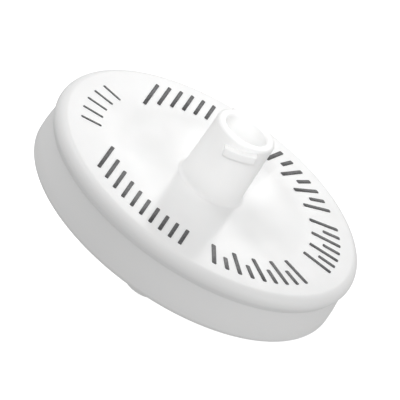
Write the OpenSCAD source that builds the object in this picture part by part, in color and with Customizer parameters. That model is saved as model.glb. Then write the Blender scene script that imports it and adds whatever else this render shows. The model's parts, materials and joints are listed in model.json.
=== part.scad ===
// Disc syringe filter: two polypropylene halves welded round a flat membrane,
// with a luer lock socket on the printed side and a luer slip tip below.
// It lies as it does on a bench, on the edge of its rim and the end of its tip.

/* [Disc] */
// Outer diameter of the disc
disc_d = 33; // [32:0.5:36]
// Thickness of the disc, from the printed face to the bottom of the rim
disc_h = 5.6; // [5.4:0.1:6.4]
// Depth of the upper half's edge, from the printed face to the parting line
edge_h = 1.75; // [1.6:0.05:1.9]
// Round on the edge of the printed face
face_round = 0.95; // [0.5:0.05:1.2]
// Round on the bottom edge of the rim
base_round = 0.6; // [0.3:0.05:0.8]
// How far the lower half stands in from the upper one at the rim
wall_inset = 0.1; // [0.05:0.01:0.15]
// How far the lower half's wall draws in further, up to the parting line
wall_draft = 0.2; // [0.1:0.01:0.3]

/* [Inlet] */
// Height of the inlet tube above the printed face
inlet_h = 6.6; // [6.4:0.1:8]
// Diameter of the tube under its lugs
tube_d = 6.2; // [6:0.1:6.6]
// Diameter across the two locking lugs
lug_d = 7.75; // [7.6:0.05:7.83]
// Width of each lug
lug_w = 3.2; // [3:0.1:4]
// Diameter of the tapered socket at its mouth
socket_d = 4.3; // [4.27:0.005:4.315]
// Depth of the tapered socket
socket_depth = 7.5; // [7:0.1:7.6]

/* [Outlet] */
// Length of the outlet tip below the rim
tip_len = 7.85; // [7.5:0.05:9]
// Diameter of the tip at its end
tip_d = 3.96; // [3.925:0.005:3.99]
// Diameter of the bore through the tip
drain_d = 1.9; // [1.2:0.1:2.2]

/* [Membrane] */
// Diameter of the membrane
membrane_d = 25; // [24.5:0.1:25.2]
// Thickness of the membrane
membrane_t = 0.17; // [0.1:0.01:0.25]
// Number of support rings under the membrane
ring_count = 7; // [4:1:8]
// Number of radial channels through the support rings
channel_count = 8; // [4:2:12]

/* [Print] */
// Number of bars in each group
bar_count = 10; // [4:1:12]
// Distance between neighbouring bars
bar_pitch = 1.13; // [0.9:0.01:1.2]
// Width of each bar
bar_w = 0.38; // [0.2:0.01:0.5]
// Inner radius of the printed band
band_in = 11; // [10.5:0.1:12]
// Outer radius of the printed band
band_out = 14.2; // [13.5:0.1:14.6]

/* [Hidden] */
$fn = 96;
slack = 1;               // spare length on cutting shapes
sink = 0.05;             // how deep a joined shape starts inside its neighbour
luer_taper = 0.03;       // radius gained per unit of length on a 6 % cone

// Heights above the bottom of the rim
face_z = disc_h;
parting_z = face_z - edge_h;
ceiling_z = face_z - 1.5;
seat_z = parting_z - 0.65;
clamp_z = seat_z + membrane_t;
channel_z = seat_z - 0.6;
underside_z = channel_z - 1.3;
mouth_z = face_z + inlet_h;
tip_z = -tip_len;

// Radii of the disc
disc_r = disc_d / 2;
base_r = disc_r - wall_inset;
waist_r = base_r - wall_draft;
rim_in = base_r - 2.4;   // inner face of the rim, underneath
seat_r = membrane_d / 2 + 0.5;
clamp_in = membrane_d / 2 - 1.1;
weld_in = seat_r + 1.1;
weld_w = 0.9;
weld_h = 1.1;
weld_gap = 0.15;         // room left under the weld bead

// Shallow dish inside the printed band
dish_r = band_in - 0.3;
dish_slope = 0.7;
dish_depth = 0.2;

// Inlet tube
tube_r = tube_d / 2;
root_r = tube_r + 0.14;
root_fillet = 0.4;
mouth_round = 0.25;
mouth_h = 1.35;          // straight top of the tube
lug_h = 0.8;             // thickness of a lug
lug_drop = 0.65;         // from the mouth down to the middle of a lug's top
lug_slope = atan(5 / (PI * lug_d)); // luer threads rise by 5 in a turn
feed_r = 1.1;
spreader_count = 12;
spreader_w = 0.5;
spreader_h = 0.35;

// Outlet tip
tip_r = tip_d / 2;
tip_round = 0.25;
boss_r = 4.3;
boss_round = 0.5;
rib_count = 8;
rib_w = 0.9;
rib_step = 0.25;         // how far the ribs stay above the bottom of the rim
drain_r = drain_d / 2;

// Support grid under the membrane
ring_w = 0.55;
ring_pitch = (clamp_in - 2.4) / ring_count;
channel_w = 0.9;

// Print, turned with the tube's lugs about the disc's own axis
print_turn = -16.2;
lug_turn = -94.5;
ink_t = 0.04;
bar_start = -9.49;       // middle of the first bar, across the face
scale_w = 0.46;          // width of a mark on the curved scale
scale_step = 5.7;        // degrees between its marks
scale_runs = [[-72, 9], [-7, 7], [39, 7]]; // start angle and count of each run
index_w = 0.3;           // width of the five marks opposite the scale
index_step = 8;
index_len = 2.2;

// Rest: the rim's bottom round and the tip's end round touch one flat surface
rim_centre = [base_r - base_round, base_round];
tip_centre = [tip_r - tip_round, tip_z + tip_round];
reach = rim_centre - tip_centre;
lean = atan2(reach.y, reach.x) - asin((base_round - tip_round) / norm(reach));
lift = rim_centre.x * sin(lean) - rim_centre.y * cos(lean) + base_round;
high_x = (disc_r - face_round) * cos(lean) + (face_z - face_round) * sin(lean)
  + face_round;
low_x = -rim_centre.x * cos(lean) + rim_centre.y * sin(lean) - base_round;

// Leans an upright shape over until it lies, with its outline centred on the origin
module at_rest() {
  translate([-(high_x + low_x) / 2, 0, lift]) rotate([0, lean, 0]) children();
}

// A rectangle in the section, from radius r1 to r2 and from height z1 to z2
module slab(r1, r2, z1, z2) {
  translate([r1, z1]) square([r2 - r1, z2 - z1]);
}

// What a round takes off a corner at the origin, with the body at -x and -y
module corner_off(r) {
  difference() {
    translate([-r, -r]) square(r + slack);
    translate([-r, -r]) circle(r);
  }
}

// A concave fillet in the corner at the origin, open towards +x and +y
module fillet_in(r) {
  difference() {
    translate([-sink, -sink]) square(r + sink);
    translate([r, r]) circle(r);
  }
}

// Upper half in section: plate, edge, clamp ring, weld bead and tube
module inlet_section() {
  difference() {
    union() {
      slab(0, disc_r, ceiling_z, face_z);
      slab(seat_r - 0.1, disc_r, parting_z, ceiling_z + sink);
      slab(clamp_in, seat_r - 0.1, clamp_z, ceiling_z + sink);
      slab(weld_in, weld_in + weld_w, parting_z - weld_h, parting_z + sink);
    }
    translate([disc_r, face_z]) corner_off(face_round);
    polygon([
      [0, face_z - dish_depth], [dish_r - dish_slope, face_z - dish_depth],
      [dish_r, face_z], [dish_r, face_z + slack], [0, face_z + slack]
    ]);
  }
  difference() {
    polygon([
      [0, ceiling_z + sink], [root_r, ceiling_z + sink], [root_r, face_z - dish_depth],
      [tube_r, mouth_z - mouth_h], [tube_r, mouth_z], [0, mouth_z]
    ]);
    translate([tube_r, mouth_z]) corner_off(mouth_round);
  }
  translate([root_r - sink, face_z - dish_depth]) fillet_in(root_fillet);
}

// Two ears below the mouth, slanted like a right-hand thread, for a locking collar
module lugs() {
  for (side = [0, 180]) rotate([0, 0, lug_turn + side]) intersection() {
    rotate_extrude() slab(tube_r - 0.3, lug_d / 2, mouth_z - 3, mouth_z);
    translate([0, 0, mouth_z - lug_drop]) rotate([lug_slope, 0, 0])
      translate([0, -lug_w / 2, -lug_h]) cube([lug_d, lug_w, lug_h]);
  }
}

// Low radial ribs under the plate that spread the flow over the membrane
module spreaders() {
  for (i = [0 : spreader_count - 1])
    rotate([0, 0, i * 360 / spreader_count])
      translate([2.6, -spreader_w / 2, ceiling_z - spreader_h])
        cube([clamp_in - 2.6 + sink, spreader_w, spreader_h + sink]);
}

module inlet_housing() {
  socket_r = socket_d / 2;
  socket_floor = mouth_z - socket_depth;
  color("white") at_rest() difference() {
    union() {
      rotate_extrude() inlet_section();
      lugs();
      spreaders();
    }
    translate([0, 0, socket_floor])
      cylinder(h = socket_depth, r1 = socket_r - luer_taper * socket_depth, r2 = socket_r);
    translate([0, 0, mouth_z - 0.15])
      cylinder(h = 0.15 + sink, r1 = socket_r, r2 = socket_r + 0.15 + sink);
    translate([0, 0, ceiling_z - slack])
      cylinder(h = socket_floor - ceiling_z + slack + sink, r = feed_r);
  }
}

// Lower half in section: wall, floor, membrane seat, boss and tapered tip
module outlet_section() {
  root = tip_r + luer_taper * tip_len;
  difference() {
    union() {
      polygon([
        [rim_in, 0], [base_r, 0], [base_r, 1.5], [waist_r, parting_z],
        [seat_r, parting_z], [seat_r, channel_z], [rim_in, channel_z]
      ]);
      slab(0, rim_in + sink, underside_z, channel_z);
      slab(clamp_in, seat_r + sink, channel_z - sink, seat_z);
      slab(0, boss_r, 0, channel_z - sink);
      polygon([[0, tip_z], [tip_r, tip_z], [root, 0], [root, sink], [0, sink]]);
    }
    translate([base_r, 0]) mirror([0, 1]) corner_off(base_round);
    translate([rim_in, 0]) mirror([0, 1]) mirror([1, 0]) corner_off(0.3);
    translate([boss_r, 0]) mirror([0, 1]) corner_off(boss_round);
    translate([tip_r, tip_z]) mirror([0, 1]) corner_off(tip_round);
    slab(weld_in, weld_in + weld_w, parting_z - weld_h - weld_gap, parting_z + slack);
  }
  translate([root - sink, 0]) mirror([0, 1]) fillet_in(0.4);
}

// Rings that carry the membrane, cut through by channels that lead to the drain
module support_grid() {
  difference() {
    rotate_extrude() for (i = [0 : ring_count - 1])
      slab(2.2 + i * ring_pitch, 2.2 + i * ring_pitch + ring_w, channel_z - sink, seat_z);
    for (i = [0 : channel_count / 2 - 1])
      rotate([0, 0, i * 360 / channel_count])
        translate([-clamp_in, -channel_w / 2, channel_z])
          cube([2 * clamp_in, channel_w, slack]);
  }
}

// Stiffening ribs under the floor, between the boss and the rim
module stiffeners() {
  for (i = [0 : rib_count - 1])
    rotate([0, 0, print_turn + (i + 0.5) * 360 / rib_count])
      translate([boss_r - sink, -rib_w / 2, rib_step])
        cube([rim_in - boss_r + 2 * sink, rib_w, underside_z - rib_step + sink]);
}

module outlet_housing() {
  color("whitesmoke") at_rest() difference() {
    union() {
      rotate_extrude() outlet_section();
      support_grid();
      stiffeners();
    }
    translate([0, 0, tip_z - slack])
      cylinder(h = tip_len + channel_z + 2 * slack, r = drain_r);
    translate([0, 0, channel_z - 0.5])
      cylinder(h = 0.5 + sink, r1 = drain_r, r2 = drain_r + 0.5 + sink);
  }
}

module membrane() {
  color("ivory") at_rest() translate([0, 0, seat_z]) cylinder(h = membrane_t, d = membrane_d);
}

// One group of parallel bars between the band's two radii, on the +y side
module bar_group() {
  for (i = [0 : bar_count - 1]) {
    x = bar_start + i * bar_pitch;
    inner = sqrt(band_in * band_in - x * x);
    outer = sqrt(band_out * band_out - x * x);
    translate([x - bar_w / 2, inner]) square([bar_w, outer - inner]);
  }
}

// A radial mark at an angle
module mark(angle, w, r1, r2) {
  rotate(angle) translate([r1, -w / 2]) square([r2 - r1, w]);
}

module printed_marks() {
  color("dimgray") at_rest() translate([0, 0, face_z])
    rotate([0, 0, print_turn]) linear_extrude(ink_t) {
      bar_group();
      mirror([0, 1]) bar_group();
      for (run = scale_runs) for (i = [0 : run[1] - 1])
        mark(run[0] + i * scale_step, scale_w, i % 2 == 0 ? band_in : band_in + 1.3, band_out);
      for (i = [-2 : 2])
        mark(180 + i * index_step, index_w, band_out - index_len, band_out);
    }
}

inlet_housing();
outlet_housing();
membrane();
printed_marks();
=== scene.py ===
# Disc syringe filter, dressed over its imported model. Lengths in the dictionaries are in
# millimetres. Heights are above the bottom of the rim, along the disc's own axis.
import bpy
import json
import math
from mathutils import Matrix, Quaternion, Vector


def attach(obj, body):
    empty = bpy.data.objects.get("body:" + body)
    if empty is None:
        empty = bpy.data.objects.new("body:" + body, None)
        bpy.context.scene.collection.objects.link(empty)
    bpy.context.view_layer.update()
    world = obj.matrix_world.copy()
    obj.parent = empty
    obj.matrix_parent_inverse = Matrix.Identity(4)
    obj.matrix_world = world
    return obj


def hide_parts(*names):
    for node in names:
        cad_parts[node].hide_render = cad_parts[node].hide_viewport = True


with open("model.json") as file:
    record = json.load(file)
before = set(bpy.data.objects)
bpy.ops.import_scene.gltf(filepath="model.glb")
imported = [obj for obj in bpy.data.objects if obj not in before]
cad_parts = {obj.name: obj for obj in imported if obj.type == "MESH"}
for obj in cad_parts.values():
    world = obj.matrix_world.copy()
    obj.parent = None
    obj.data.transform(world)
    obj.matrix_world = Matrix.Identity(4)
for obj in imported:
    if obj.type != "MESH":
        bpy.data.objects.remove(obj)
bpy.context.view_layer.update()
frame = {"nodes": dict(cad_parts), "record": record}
print("frame loaded:", ", ".join(sorted(frame["nodes"])))

mm = 0.001
spinSteps = 192
overlap = 0.05              # how deep a joined shape starts inside its neighbour
samePoint = 1e-4            # points closer than this are one point after a spin
seam = 5e-4                 # and after a cut
nearby = 2e-4               # how far from a corner a point is still picked with it
margin = 1e-3               # room left where points are picked by their height
sharpEdge = 40              # an edge that turns further than this is softened
smoothTurn = 38             # faces that turn less than this are shaded as one
edgeRound = 0.08            # round on the small inner edges

# The disc's own axis, from the two luer mounts
mounts = {mount["name"]: mount for mount in frame["record"]["mounts"]}
discAxis = Vector(mounts["inlet"]["axis"]).normalized()
tipEnd = Vector(mounts["outlet"]["pos_m"])
tipLength = 7.85
rimBottom = tipEnd + discAxis * tipLength * mm
lean = math.atan2(discAxis.x, discAxis.z)

# What the two halves share
disc = {
    "face": 5.6,            # height of the printed face
    "parting": 3.85,        # height where the halves meet
    "ceiling": 4.1,         # underside of the upper plate
    "seat": 3.2,            # underside of the membrane
    "membraneThick": 0.17,
    "clampIn": 11.4,        # inner radius of the clamping ring
    "seatRadius": 13.0,     # radius of the pocket that the membrane lies in
    "weldIn": 14.1,
    "weldWidth": 0.9,
    "weldDeep": 1.1,
    "weldRound": 0.12,      # round on the foot of the weld bead
}


# Moves by hand that the pieces share

def selectNone():
    if bpy.context.object and bpy.context.object.mode != "OBJECT":
        bpy.ops.object.mode_set(mode="OBJECT")
    bpy.ops.object.select_all(action="DESELECT")


def pickUp(piece):
    selectNone()
    piece.select_set(True)
    bpy.context.view_layer.objects.active = piece


def pickCorners(piece, corners):
    # leaves edit mode to select by place, then goes back in
    bpy.ops.mesh.select_all(action="DESELECT")
    bpy.ops.object.mode_set(mode="OBJECT")
    for point in piece.data.vertices:
        point.select = any(
            abs(point.co.x - x) < nearby and abs(point.co.z - z) < nearby
            for x, z, _ in corners)
    bpy.ops.object.mode_set(mode="EDIT")


def roundSteps(radius):
    # a larger round takes more steps
    if radius < 0.15:
        return 3
    if radius < 0.5:
        return 6
    return 10


def drawOutline(name, corners):
    # a vertex pulled from corner to corner, closed, then rounded where a corner has a radius
    selectNone()
    bpy.ops.mesh.primitive_plane_add(size=1, location=(0, 0, 0))
    piece = bpy.context.object
    piece.name = name
    bpy.ops.object.mode_set(mode="EDIT")
    bpy.ops.mesh.select_mode(type="VERT")
    bpy.ops.mesh.merge(type="CENTER")
    x, z, _ = corners[0]
    bpy.ops.transform.translate(value=(x, 0, z))
    for nextX, nextZ, _ in corners[1:]:
        step = (nextX - x, 0, nextZ - z)
        bpy.ops.mesh.extrude_region_move(TRANSFORM_OT_translate={"value": step})
        x, z = nextX, nextZ
    pickCorners(piece, [corners[0], corners[-1]])
    bpy.ops.mesh.edge_face_add()
    for corner in corners:
        if corner[2]:
            pickCorners(piece, [corner])
            bpy.ops.mesh.bevel(offset=corner[2], segments=roundSteps(corner[2]),
                               affect="VERTICES")
    bpy.ops.object.mode_set(mode="OBJECT")
    return piece


def spinRound(piece):
    pickUp(piece)
    bpy.ops.object.mode_set(mode="EDIT")
    bpy.ops.mesh.select_all(action="SELECT")
    bpy.ops.mesh.spin(steps=spinSteps, angle=math.tau, center=(0, 0, 0), axis=(0, 0, 1))
    bpy.ops.mesh.select_all(action="SELECT")
    bpy.ops.mesh.remove_doubles(threshold=samePoint)
    bpy.ops.mesh.normals_make_consistent(inside=False)
    bpy.ops.object.mode_set(mode="OBJECT")


def drawBlock(name, low, high):
    selectNone()
    middle = [(a + b) / 2 for a, b in zip(low, high)]
    bpy.ops.mesh.primitive_cube_add(size=1, location=middle)
    piece = bpy.context.object
    piece.name = name
    piece.scale = [b - a for a, b in zip(low, high)]
    bpy.ops.object.transform_apply(location=True, rotation=True, scale=True)
    return piece


def softenEdges(piece, width, steps=2, choose=None):
    # bevels the sharp edges, or only those whose two ends pass a test
    pickUp(piece)
    bpy.ops.object.mode_set(mode="EDIT")
    bpy.ops.mesh.select_mode(type="EDGE")
    bpy.ops.mesh.select_all(action="DESELECT")
    if choose is None:
        bpy.ops.mesh.edges_select_sharp(sharpness=math.radians(sharpEdge))
    else:
        bpy.ops.object.mode_set(mode="OBJECT")
        points = piece.data.vertices
        for edge in piece.data.edges:
            first, last = (points[index].co for index in edge.vertices)
            edge.select = choose(first, last)
        bpy.ops.object.mode_set(mode="EDIT")
    bpy.ops.mesh.bevel(offset=width, segments=steps, affect="EDGES")
    bpy.ops.object.mode_set(mode="OBJECT")


def join(pieces, name):
    selectNone()
    for piece in pieces:
        piece.select_set(True)
    bpy.context.view_layer.objects.active = pieces[0]
    bpy.ops.object.join()
    pieces[0].name = name
    return pieces[0]


def turnRound(piece, degrees):
    pickUp(piece)
    piece.rotation_euler = (0, 0, math.radians(degrees))
    bpy.ops.object.transform_apply(location=False, rotation=True, scale=False)


def copyPiece(piece):
    other = piece.copy()
    other.data = piece.data.copy()
    bpy.context.collection.objects.link(other)
    return other


def copyRound(piece, count, start=0.0):
    # the same shape at even turns about the disc's axis, from the starting angle on
    around = [piece] + [copyPiece(piece) for _ in range(count - 1)]
    for turn, other in enumerate(around):
        turnRound(other, start + turn * 360 / count)
    return join(around, piece.name)


def carve(piece, other, operation):
    # joins, cuts or keeps what is shared, then throws the second shape away
    pickUp(piece)
    change = piece.modifiers.new("carve", "BOOLEAN")
    change.operation = operation
    change.solver = "EXACT"
    change.object = other
    bpy.ops.object.modifier_apply(modifier=change.name)
    bpy.data.objects.remove(other)
    bpy.ops.object.mode_set(mode="EDIT")
    bpy.ops.mesh.select_all(action="SELECT")
    bpy.ops.mesh.remove_doubles(threshold=seam)
    bpy.ops.mesh.dissolve_degenerate(threshold=seam)
    bpy.ops.object.mode_set(mode="OBJECT")


def layDown(piece):
    # from upright and in millimetres to how it lies in the frame, kept in the mesh
    pickUp(piece)
    piece.scale = (mm, mm, mm)
    piece.rotation_euler = (0, lean, 0)
    piece.location = rimBottom
    bpy.ops.object.transform_apply(location=True, rotation=True, scale=True)
    bpy.ops.object.shade_smooth_by_angle(angle=math.radians(smoothTurn))


def dress(piece, node, finish):
    layDown(piece)
    piece.data.materials.clear()
    piece.data.materials.append(finish)
    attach(piece, "root")
    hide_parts(node)
    print(piece.name, "done,", len(piece.data.polygons), "faces")


# Finishes

def startFinish(name):
    finish = bpy.data.materials.new(name)
    finish.use_nodes = True
    nodes = finish.node_tree.nodes
    place = nodes.new("ShaderNodeTexCoord")
    return finish, nodes, finish.node_tree.links, nodes["Principled BSDF"], place


def addNoise(nodes, links, place, scale, detail, roughness=0.5):
    noise = nodes.new("ShaderNodeTexNoise")
    noise.inputs["Scale"].default_value = scale
    noise.inputs["Detail"].default_value = detail
    noise.inputs["Roughness"].default_value = roughness
    links.new(place.outputs["Object"], noise.inputs["Vector"])
    return noise


def addRange(nodes, links, source, low, high, fromLow=0.3, fromHigh=0.7):
    spread = nodes.new("ShaderNodeMapRange")
    spread.inputs["From Min"].default_value = fromLow
    spread.inputs["From Max"].default_value = fromHigh
    spread.inputs["To Min"].default_value = low
    spread.inputs["To Max"].default_value = high
    links.new(source, spread.inputs["Value"])
    return spread.outputs["Result"]


def addMix(nodes, links, factor, first, second):
    mix = nodes.new("ShaderNodeMix")
    mix.data_type = "RGBA"
    mix.inputs["A"].default_value = (*first, 1)
    mix.inputs["B"].default_value = (*second, 1)
    links.new(factor, mix.inputs["Factor"])
    return mix.outputs["Result"]


def addBump(nodes, links, shader, height, strength, distance):
    bump = nodes.new("ShaderNodeBump")
    bump.inputs["Strength"].default_value = strength
    bump.inputs["Distance"].default_value = distance * mm
    links.new(height, bump.inputs["Height"])
    links.new(bump.outputs["Normal"], shader.inputs["Normal"])


plastic = {
    "white": (0.93, 0.93, 0.925),
    "cloudy": (0.915, 0.915, 0.912),
    "through": 0.1,                     # share of light that enters the plastic
    "throughReach": (1.1, 1.0, 0.95),   # how far red, green and blue travel in it
    "refraction": 1.49,
    "roughness": (0.42, 0.47),
    "cloudScale": 140,
    "sheenScale": 420,
    "grainScale": 5200,
    "grainStrength": 0.5,
    "grainDeep": 0.004,
}


def makePlastic():
    finish, nodes, links, shader, place = startFinish("whitePolypropylene")
    clouds = addNoise(nodes, links, place, plastic["cloudScale"], detail=3)
    cloudiness = addRange(nodes, links, clouds.outputs["Fac"], 0, 1)
    links.new(addMix(nodes, links, cloudiness, plastic["white"], plastic["cloudy"]),
              shader.inputs["Base Color"])
    sheen = addNoise(nodes, links, place, plastic["sheenScale"], detail=4)
    links.new(addRange(nodes, links, sheen.outputs["Fac"], *plastic["roughness"]),
              shader.inputs["Roughness"])
    grain = addNoise(nodes, links, place, plastic["grainScale"], detail=2)
    addBump(nodes, links, shader, grain.outputs["Fac"], plastic["grainStrength"],
            plastic["grainDeep"])
    shader.inputs["IOR"].default_value = plastic["refraction"]
    shader.inputs["Subsurface Weight"].default_value = plastic["through"]
    shader.inputs["Subsurface Radius"].default_value = plastic["throughReach"]
    shader.inputs["Subsurface Scale"].default_value = mm
    return finish


ink = {
    "dark": (0.018, 0.018, 0.019),
    "thin": (0.15, 0.15, 0.152),
    "leastShare": 0.1,      # of the thin ink's grey, where noise is lowest
    "patchScale": 260,
    "speckScale": 3600,
    "speckStrength": 0.5,
    "speckDeep": 0.006,
    "roughness": 0.48,
}


def makeInk():
    # pad print: dark where it went on thick, greyer in patches and at fine specks
    finish, nodes, links, shader, place = startFinish("printInk")
    patches = addNoise(nodes, links, place, ink["patchScale"], detail=2)
    specks = addNoise(nodes, links, place, ink["speckScale"], detail=3, roughness=0.7)
    share = nodes.new("ShaderNodeMath")
    share.operation = "MULTIPLY"
    for noise, socket in zip((patches, specks), share.inputs):
        part = addRange(nodes, links, noise.outputs["Fac"], ink["leastShare"], 1)
        links.new(part, socket)
    links.new(addMix(nodes, links, share.outputs["Value"], ink["dark"], ink["thin"]),
              shader.inputs["Base Color"])
    addBump(nodes, links, shader, specks.outputs["Fac"], ink["speckStrength"],
            ink["speckDeep"])
    shader.inputs["Roughness"].default_value = ink["roughness"]
    return finish


nylon = {
    "pale": (0.95, 0.94, 0.9),
    "shade": (0.9, 0.885, 0.84),
    "poreScale": 9000,
    "poreStrength": 0.8,
    "poreDeep": 0.01,
    "roughness": 0.85,
    "sheen": 0.15,
}


def makeNylon():
    finish, nodes, links, shader, place = startFinish("nylonMembrane")
    pores = addNoise(nodes, links, place, nylon["poreScale"], detail=5, roughness=0.65)
    links.new(addMix(nodes, links, pores.outputs["Fac"], nylon["pale"], nylon["shade"]),
              shader.inputs["Base Color"])
    addBump(nodes, links, shader, pores.outputs["Fac"], nylon["poreStrength"],
            nylon["poreDeep"])
    shader.inputs["Roughness"].default_value = nylon["roughness"]
    shader.inputs["Sheen Weight"].default_value = nylon["sheen"]
    return finish


# Upper half: plate, edge and luer lock inlet

inlet = {
    "radius": 16.5,
    "faceRound": 0.95,
    "footRadius": 16.2,     # the edge draws in a little where it meets the lower half
    "footRise": 0.6,
    "footRound": 0.15,
    "dishRadius": 10.8,
    "dishSlope": 2.0,
    "dishDeep": 0.2,
    "dishRound": 0.8,
    "tubeHeight": 6.6,      # above the face
    "tubeRadius": 3.1,
    "rootRadius": 3.24,
    "rootFillet": 0.4,
    "straightTop": 1.5,     # the tube's outside is straight over this length
    "mouthRound": 0.25,
    "lead": 0.15,           # chamfer that leads a tip into the socket
    "leadRound": 0.05,
    "socketRadius": 2.15,
    "socketDeep": 7.5,
    "socketRound": 0.12,
    "taper": 0.03,          # radius lost for each millimetre down the socket
    "feedRadius": 1.1,
    "ceilingRound": 0.1,
    "plugPlay": 0.1,        # room round the clamping ring in the membrane's pocket
    "lugRadius": 3.875,
    "lugWidth": 3.2,
    "lugThick": 0.8,
    "lugDrop": 0.65,        # from the mouth down to the middle of a lug's top
    "lugLead": 5.0,         # what a luer thread rises in a turn
    "lugTurn": -94.5,
    "lugRound": 0.09,
    "lugRoot": 0.3,         # how deep a lug starts inside the tube
    "lugBlank": (3, 0.05),  # how far under the mouth the ring it is cut from starts and ends
    "spreaders": 12,
    "spreaderWidth": 0.5,
    "spreaderDeep": 0.35,
    "spreaderIn": 2.6,
}
mouth = disc["face"] + inlet["tubeHeight"]


def inletOutline():
    weldOut = disc["weldIn"] + disc["weldWidth"]
    clamp = disc["seat"] + disc["membraneThick"]
    plugRadius = disc["seatRadius"] - inlet["plugPlay"]
    beadFoot = disc["parting"] - disc["weldDeep"]
    dishFloor = disc["face"] - inlet["dishDeep"]
    lead = inlet["lead"]
    socketFloor = mouth - inlet["socketDeep"]
    socketFoot = inlet["socketRadius"] - inlet["taper"] * inlet["socketDeep"]
    return [
        (inlet["feedRadius"], disc["ceiling"], edgeRound),
        (disc["clampIn"], disc["ceiling"], inlet["ceilingRound"]),
        (disc["clampIn"], clamp, edgeRound),
        (plugRadius, clamp, edgeRound),
        (plugRadius, disc["parting"], edgeRound),
        (disc["weldIn"], disc["parting"], edgeRound),
        (disc["weldIn"], beadFoot, disc["weldRound"]),
        (weldOut, beadFoot, disc["weldRound"]),
        (weldOut, disc["parting"], edgeRound),
        (inlet["footRadius"], disc["parting"], 0),
        (inlet["radius"], disc["parting"] + inlet["footRise"], inlet["footRound"]),
        (inlet["radius"], disc["face"], inlet["faceRound"]),
        (inlet["dishRadius"], disc["face"], inlet["dishRound"]),
        (inlet["dishRadius"] - inlet["dishSlope"], dishFloor, inlet["dishRound"]),
        (inlet["rootRadius"], dishFloor, inlet["rootFillet"]),
        (inlet["tubeRadius"], mouth - inlet["straightTop"], 0),
        (inlet["tubeRadius"], mouth, inlet["mouthRound"]),
        (inlet["socketRadius"] + lead, mouth, inlet["leadRound"]),
        (inlet["socketRadius"] - inlet["taper"] * lead, mouth - lead, inlet["leadRound"]),
        (socketFoot, socketFloor, inlet["socketRound"]),
        (inlet["feedRadius"], socketFloor, edgeRound),
    ]


def drawLugs():
    # a ring round the tube, cut down to the part of it that a slanted block covers
    rootIn = inlet["tubeRadius"] - inlet["lugRoot"]
    crest = inlet["lugRadius"]
    low, high = (mouth - below for below in inlet["lugBlank"])
    lug = drawOutline("lugs", [(rootIn, low, 0), (rootIn, high, 0),
                               (crest, high, 0), (crest, low, 0)])
    spinRound(lug)
    half = inlet["lugWidth"] / 2
    span = drawBlock("lugSpan", (0, -half, -inlet["lugThick"]), (2 * crest, half, 0))
    span.rotation_euler = (math.atan2(inlet["lugLead"], math.tau * crest), 0, 0)
    span.location = (0, 0, mouth - inlet["lugDrop"])
    bpy.ops.object.transform_apply(location=True, rotation=True, scale=False)
    carve(lug, span, "INTERSECT")
    softenEdges(lug, inlet["lugRound"], steps=3)
    return copyRound(lug, 2, inlet["lugTurn"])


def drawSpreaders():
    half = inlet["spreaderWidth"] / 2
    foot = disc["ceiling"] - inlet["spreaderDeep"]
    rib = drawBlock("spreaders", (inlet["spreaderIn"], -half, foot),
                    (disc["clampIn"] + overlap, half, disc["ceiling"] + overlap))
    softenEdges(rib, edgeRound, choose=lambda a, b: max(a.z, b.z) < foot + margin)
    return copyRound(rib, inlet["spreaders"])


def makeInletHousing(finish):
    housing = drawOutline("inletHousing", inletOutline())
    spinRound(housing)
    carve(housing, drawLugs(), "UNION")
    carve(housing, drawSpreaders(), "UNION")
    dress(housing, "inlet_housing", finish)
    return housing


# Lower half: rim, membrane support and luer slip tip

outlet = {
    "rimRadius": 16.4,
    "waistRadius": 16.2,
    "wallFoot": 1.5,        # where the wall starts to draw in
    "wallRound": 0.3,
    "baseRound": 0.6,
    "rimIn": 14.0,
    "floorTop": 2.6,
    "floorFoot": 1.3,
    "floorRound": 0.15,
    "bossRadius": 4.3,
    "bossRound": 0.5,
    "weldGap": 0.15,        # room left under the weld bead
    "tipRadius": 1.98,
    "tipRound": 0.25,
    "tipFillet": 0.4,
    "taper": 0.03,          # radius gained for each millimetre up the tip
    "drainRadius": 0.95,
    "drainRound": 0.1,
    "drainFlare": 0.5,
    "flareRound": 0.05,
    "rings": 7,
    "ringIn": 2.2,
    "ringSpan": 9.0,        # what the rings share out, from the first one to the clamp
    "ringWidth": 0.55,
    "channels": 8,
    "channelWidth": 0.9,
    "channelSink": 0.02,    # how far the channels cut into the floor
    "ribs": 8,
    "ribWidth": 0.9,
    "ribRound": 0.12,
    "ribStep": 0.25,        # how far the ribs stay above the bottom of the rim
    "ribTurn": 6.3,
}


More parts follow.
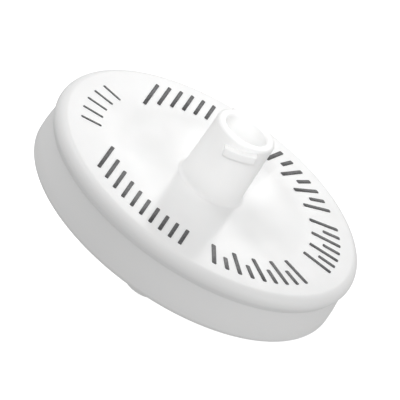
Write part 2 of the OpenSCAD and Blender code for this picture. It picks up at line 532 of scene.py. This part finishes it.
def outletOutline():
    weldOut = disc["weldIn"] + disc["weldWidth"]
    grooveFoot = disc["parting"] - disc["weldDeep"] - outlet["weldGap"]
    rootRadius = outlet["tipRadius"] + outlet["taper"] * tipLength
    rings = []
    for ring in range(outlet["rings"]):
        near = outlet["ringIn"] + ring * outlet["ringSpan"] / outlet["rings"]
        far = near + outlet["ringWidth"]
        rings += [(near, outlet["floorTop"], 0), (near, disc["seat"], edgeRound),
                  (far, disc["seat"], edgeRound), (far, outlet["floorTop"], 0)]
    return [
        (outlet["drainRadius"] + outlet["drainFlare"], outlet["floorTop"],
         outlet["flareRound"]),
        *rings,
        (disc["clampIn"], outlet["floorTop"], 0),
        (disc["clampIn"], disc["seat"], edgeRound),
        (disc["seatRadius"], disc["seat"], 0),
        (disc["seatRadius"], disc["parting"], edgeRound),
        (disc["weldIn"], disc["parting"], edgeRound),
        (disc["weldIn"], grooveFoot, 0),
        (weldOut, grooveFoot, 0),
        (weldOut, disc["parting"], edgeRound),
        (outlet["waistRadius"], disc["parting"], 0),
        (outlet["rimRadius"], outlet["wallFoot"], outlet["wallRound"]),
        (outlet["rimRadius"], 0, outlet["baseRound"]),
        (outlet["rimIn"], 0, outlet["wallRound"]),
        (outlet["rimIn"], outlet["floorFoot"], outlet["floorRound"]),
        (outlet["bossRadius"], outlet["floorFoot"], outlet["floorRound"]),
        (outlet["bossRadius"], 0, outlet["bossRound"]),
        (rootRadius, 0, outlet["tipFillet"]),
        (outlet["tipRadius"], -tipLength, outlet["tipRound"]),
        (outlet["drainRadius"], -tipLength, outlet["drainRound"]),
        (outlet["drainRadius"], outlet["floorTop"] - outlet["drainFlare"], 0),
    ]


def drawChannels():
    half = outlet["channelWidth"] / 2
    reach = disc["clampIn"]
    clear = disc["seat"] + 1     # well above the rings
    groove = drawBlock("channels", (-reach, -half, outlet["floorTop"] - outlet["channelSink"]),
                       (reach, half, clear))
    # half as many bars as channels, because each bar crosses the whole grid
    bars = []
    for turn in range(outlet["channels"] // 2):
        bar = copyPiece(groove)
        turnRound(bar, turn * 360 / outlet["channels"])
        bars.append(bar)
    bpy.data.objects.remove(groove)
    return bars


def drawRibs():
    half = outlet["ribWidth"] / 2
    rib = drawBlock("ribs", (outlet["bossRadius"] - overlap, -half, outlet["ribStep"]),
                    (outlet["rimIn"] + overlap, half, outlet["floorFoot"] + overlap))
    softenEdges(rib, outlet["ribRound"], steps=3,
                choose=lambda a, b: max(a.z, b.z) < outlet["ribStep"] + margin)
    return copyRound(rib, outlet["ribs"], outlet["ribTurn"])


def makeOutletHousing(finish):
    housing = drawOutline("outletHousing", outletOutline())
    spinRound(housing)
    for bar in drawChannels():
        carve(housing, bar, "DIFFERENCE")
    carve(housing, drawRibs(), "UNION")
    dress(housing, "outlet_housing", finish)
    return housing


# Print on the face

marks = {
    "thick": 0.04,
    "turn": -16.2,
    "bandIn": 11.0,
    "bandOut": 14.2,
    "bars": 10,
    "barStart": -9.49,
    "barPitch": 1.13,
    "barWidth": 0.38,
    "scaleWidth": 0.46,
    "scaleStep": 5.7,
    "scaleShort": 1.3,      # how much shorter every second mark is
    "scaleRuns": [(-72, 9), (-7, 7), (39, 7)],
    "indexWidth": 0.3,
    "indexStep": 8,
    "indexCount": 5,
    "indexLong": 2.2,
    "endRound": 0.13,
    "endShare": 0.45,       # an end round takes at most this part of the width
    "topRound": 0.012,
}


def drawMark(low, high, width):
    # a bar of ink from low to high along x, with round ends and a soft top edge
    half = width / 2
    top = disc["face"] + marks["thick"]
    mark = drawBlock("mark", (low, -half, disc["face"]), (high, half, top))
    endRound = min(marks["endRound"], marks["endShare"] * width)
    softenEdges(mark, endRound, steps=4,
                choose=lambda a, b: abs(a.z - b.z) > marks["thick"] / 2)
    softenEdges(mark, marks["topRound"], choose=lambda a, b: min(a.z, b.z) > top - margin)
    return mark


def makePrintedMarks(finish):
    pieces = []
    for number in range(marks["bars"]):
        across = marks["barStart"] + number * marks["barPitch"]
        low = math.sqrt(marks["bandIn"] ** 2 - across ** 2)
        high = math.sqrt(marks["bandOut"] ** 2 - across ** 2)
        for side in (1, -1):
            bar = drawMark(low, high, marks["barWidth"])
            bar.rotation_euler = (0, 0, side * math.pi / 2)
            bar.location = (across, 0, 0)
            bpy.ops.object.transform_apply(location=True, rotation=True, scale=False)
            pieces.append(bar)
    for start, count in marks["scaleRuns"]:
        for number in range(count):
            shorter = marks["scaleShort"] if number % 2 else 0
            mark = drawMark(marks["bandIn"] + shorter, marks["bandOut"], marks["scaleWidth"])
            turnRound(mark, start + number * marks["scaleStep"])
            pieces.append(mark)
    for number in range(marks["indexCount"]):
        mark = drawMark(marks["bandOut"] - marks["indexLong"], marks["bandOut"],
                        marks["indexWidth"])
        middle = (marks["indexCount"] - 1) / 2
        turnRound(mark, 180 + (number - middle) * marks["indexStep"])
        pieces.append(mark)
    printing = join(pieces, "printedMarks")
    turnRound(printing, marks["turn"])
    dress(printing, "printed_marks", finish)
    return printing


# Membrane: its solid has the right shape, so it only gets its finish

def finishMembrane(finish):
    membrane = frame["nodes"]["membrane"]
    for slot in membrane.material_slots:
        slot.material = finish


# Studio

studio = {
    "elevation": 31.5,
    "roll": 1.4,
    "distance": 500.0,
    "lens": 475.2,
    "sensor": 36,
    "aimHeight": 5.26,      # the point on the disc's axis that the camera is set by
    "aimAside": 0.935,      # how far the middle of the view lies beside that point
    "aimAbove": 1.481,
}


def towardCamera():
    up = math.radians(studio["elevation"])
    return Vector((0, -math.cos(up), math.sin(up)))


def makeCamera():
    back = towardCamera()
    look = (-back).to_track_quat("-Z", "Y") @ Quaternion((0, 0, 1), math.radians(studio["roll"]))
    right = look @ Vector((1, 0, 0))
    above = look @ Vector((0, 1, 0))
    aim = rimBottom + discAxis * studio["aimHeight"] * mm
    data = bpy.data.cameras.new("camera")
    data.lens = studio["lens"]
    data.sensor_width = studio["sensor"]
    data.clip_start = 0.01
    camera = bpy.data.objects.new("camera", data)
    bpy.context.collection.objects.link(camera)
    camera.rotation_mode = "QUATERNION"
    camera.rotation_quaternion = look
    camera.location = (aim + back * studio["distance"] * mm
                       - right * studio["aimAside"] * mm - above * studio["aimAbove"] * mm)
    bpy.context.scene.camera = camera
    return aim


lights = {
    # name: (direction to the light, distance, width, power), with lengths in metres
    "behind": ((0.43, 0.87, 0.24), 0.6, 0.07, 0.41),
    "overBack": ((-0.15, 0.42, 0.9), 0.08, 0.05, 0.0135),
    "rightSide": ((1.0, -0.45, 0.1), 0.5, 0.3, 0.34),
    "front": ((-0.2, -0.9, 0.55), 0.6, 0.4, 0.2),
}


def placeLamp(name, data, target, direction, distance):
    # stands off from the target and shines back at it
    lamp = bpy.data.objects.new(name, data)
    bpy.context.collection.objects.link(lamp)
    lamp.location = target + direction * distance
    lamp.rotation_euler = direction.to_track_quat("Z", "Y").to_euler()


def makeLights(aim):
    for name, (toward, distance, width, power) in lights.items():
        data = bpy.data.lights.new(name, "AREA")
        data.shape = "DISK"
        data.size = width
        data.energy = power
        placeLamp(name, data, aim, Vector(toward).normalized(), distance)


spots = {
    # name: (lean from the disc's axis, turn from the front, height aimed at, cone,
    # how much of the cone fades, power); angles in degrees
    "intoSocket": (42, 12, 12.2, 2.7, 0.5, 0.13),
    "ontoTube": (58, -5, 8.8, 6.5, 0.8, 0.1),
}
spotLamp = {"distance": 0.1, "width": 0.0008}    # in metres


def makeSpots():
    back = towardCamera()
    front = (back - discAxis * back.dot(discAxis)).normalized()
    for name, (tilt, turn, height, cone, fade, power) in spots.items():
        side = Quaternion(discAxis, math.radians(turn)) @ front
        direction = discAxis * math.cos(math.radians(tilt)) + side * math.sin(math.radians(tilt))
        data = bpy.data.lights.new(name, "SPOT")
        data.energy = power
        data.shadow_soft_size = spotLamp["width"]
        data.spot_size = math.radians(cone)
        data.spot_blend = fade
        target = rimBottom + discAxis * height * mm
        placeLamp(name, data, target, direction, spotLamp["distance"])


# The room is bright over the face and dimmer under the disc
surroundings = {"below": 0.435, "above": 0.61, "blend": 0.25}


def makeSurroundings():
    world = bpy.data.worlds.new("studio")
    world.use_nodes = True
    nodes, links = world.node_tree.nodes, world.node_tree.links
    place = nodes.new("ShaderNodeTexCoord")
    facing = nodes.new("ShaderNodeVectorMath")
    facing.operation = "DOT_PRODUCT"
    facing.inputs[1].default_value = discAxis
    links.new(place.outputs["Generated"], facing.inputs[0])
    strength = addRange(nodes, links, facing.outputs["Value"], surroundings["below"],
                        surroundings["above"], -surroundings["blend"], surroundings["blend"])
    background = nodes["Background"]
    background.inputs["Color"].default_value = (1, 1, 1, 1)
    links.new(strength, background.inputs["Strength"])
    bpy.context.scene.world = world
    bpy.context.scene.view_settings.view_transform = "Standard"


table = {"size": 3.0, "white": (0.9, 0.9, 0.9), "roughness": 0.6, "glow": 0.7}


def makeTable():
    selectNone()
    bpy.ops.mesh.primitive_plane_add(size=table["size"], location=(0, 0, 0))
    floor = bpy.context.object
    floor.name = "table"
    finish, _, _, shader, _ = startFinish("acrylicTable")
    shader.inputs["Base Color"].default_value = (*table["white"], 1)
    shader.inputs["Roughness"].default_value = table["roughness"]
    shader.inputs["Emission Color"].default_value = (1, 1, 1, 1)
    shader.inputs["Emission Strength"].default_value = table["glow"]
    floor.data.materials.append(finish)
    # the table shows the object's soft shadow but throws no light back up at it
    floor.visible_diffuse = False
    floor.visible_glossy = False
    floor.visible_shadow = False
    floor.visible_transmission = False


aim = makeCamera()
makeLights(aim)
makeSpots()
makeSurroundings()
makeTable()
print("studio ready")
whitePlastic = makePlastic()
makeInletHousing(whitePlastic)
makeOutletHousing(whitePlastic)
makePrintedMarks(makeInk())
finishMembrane(makeNylon())
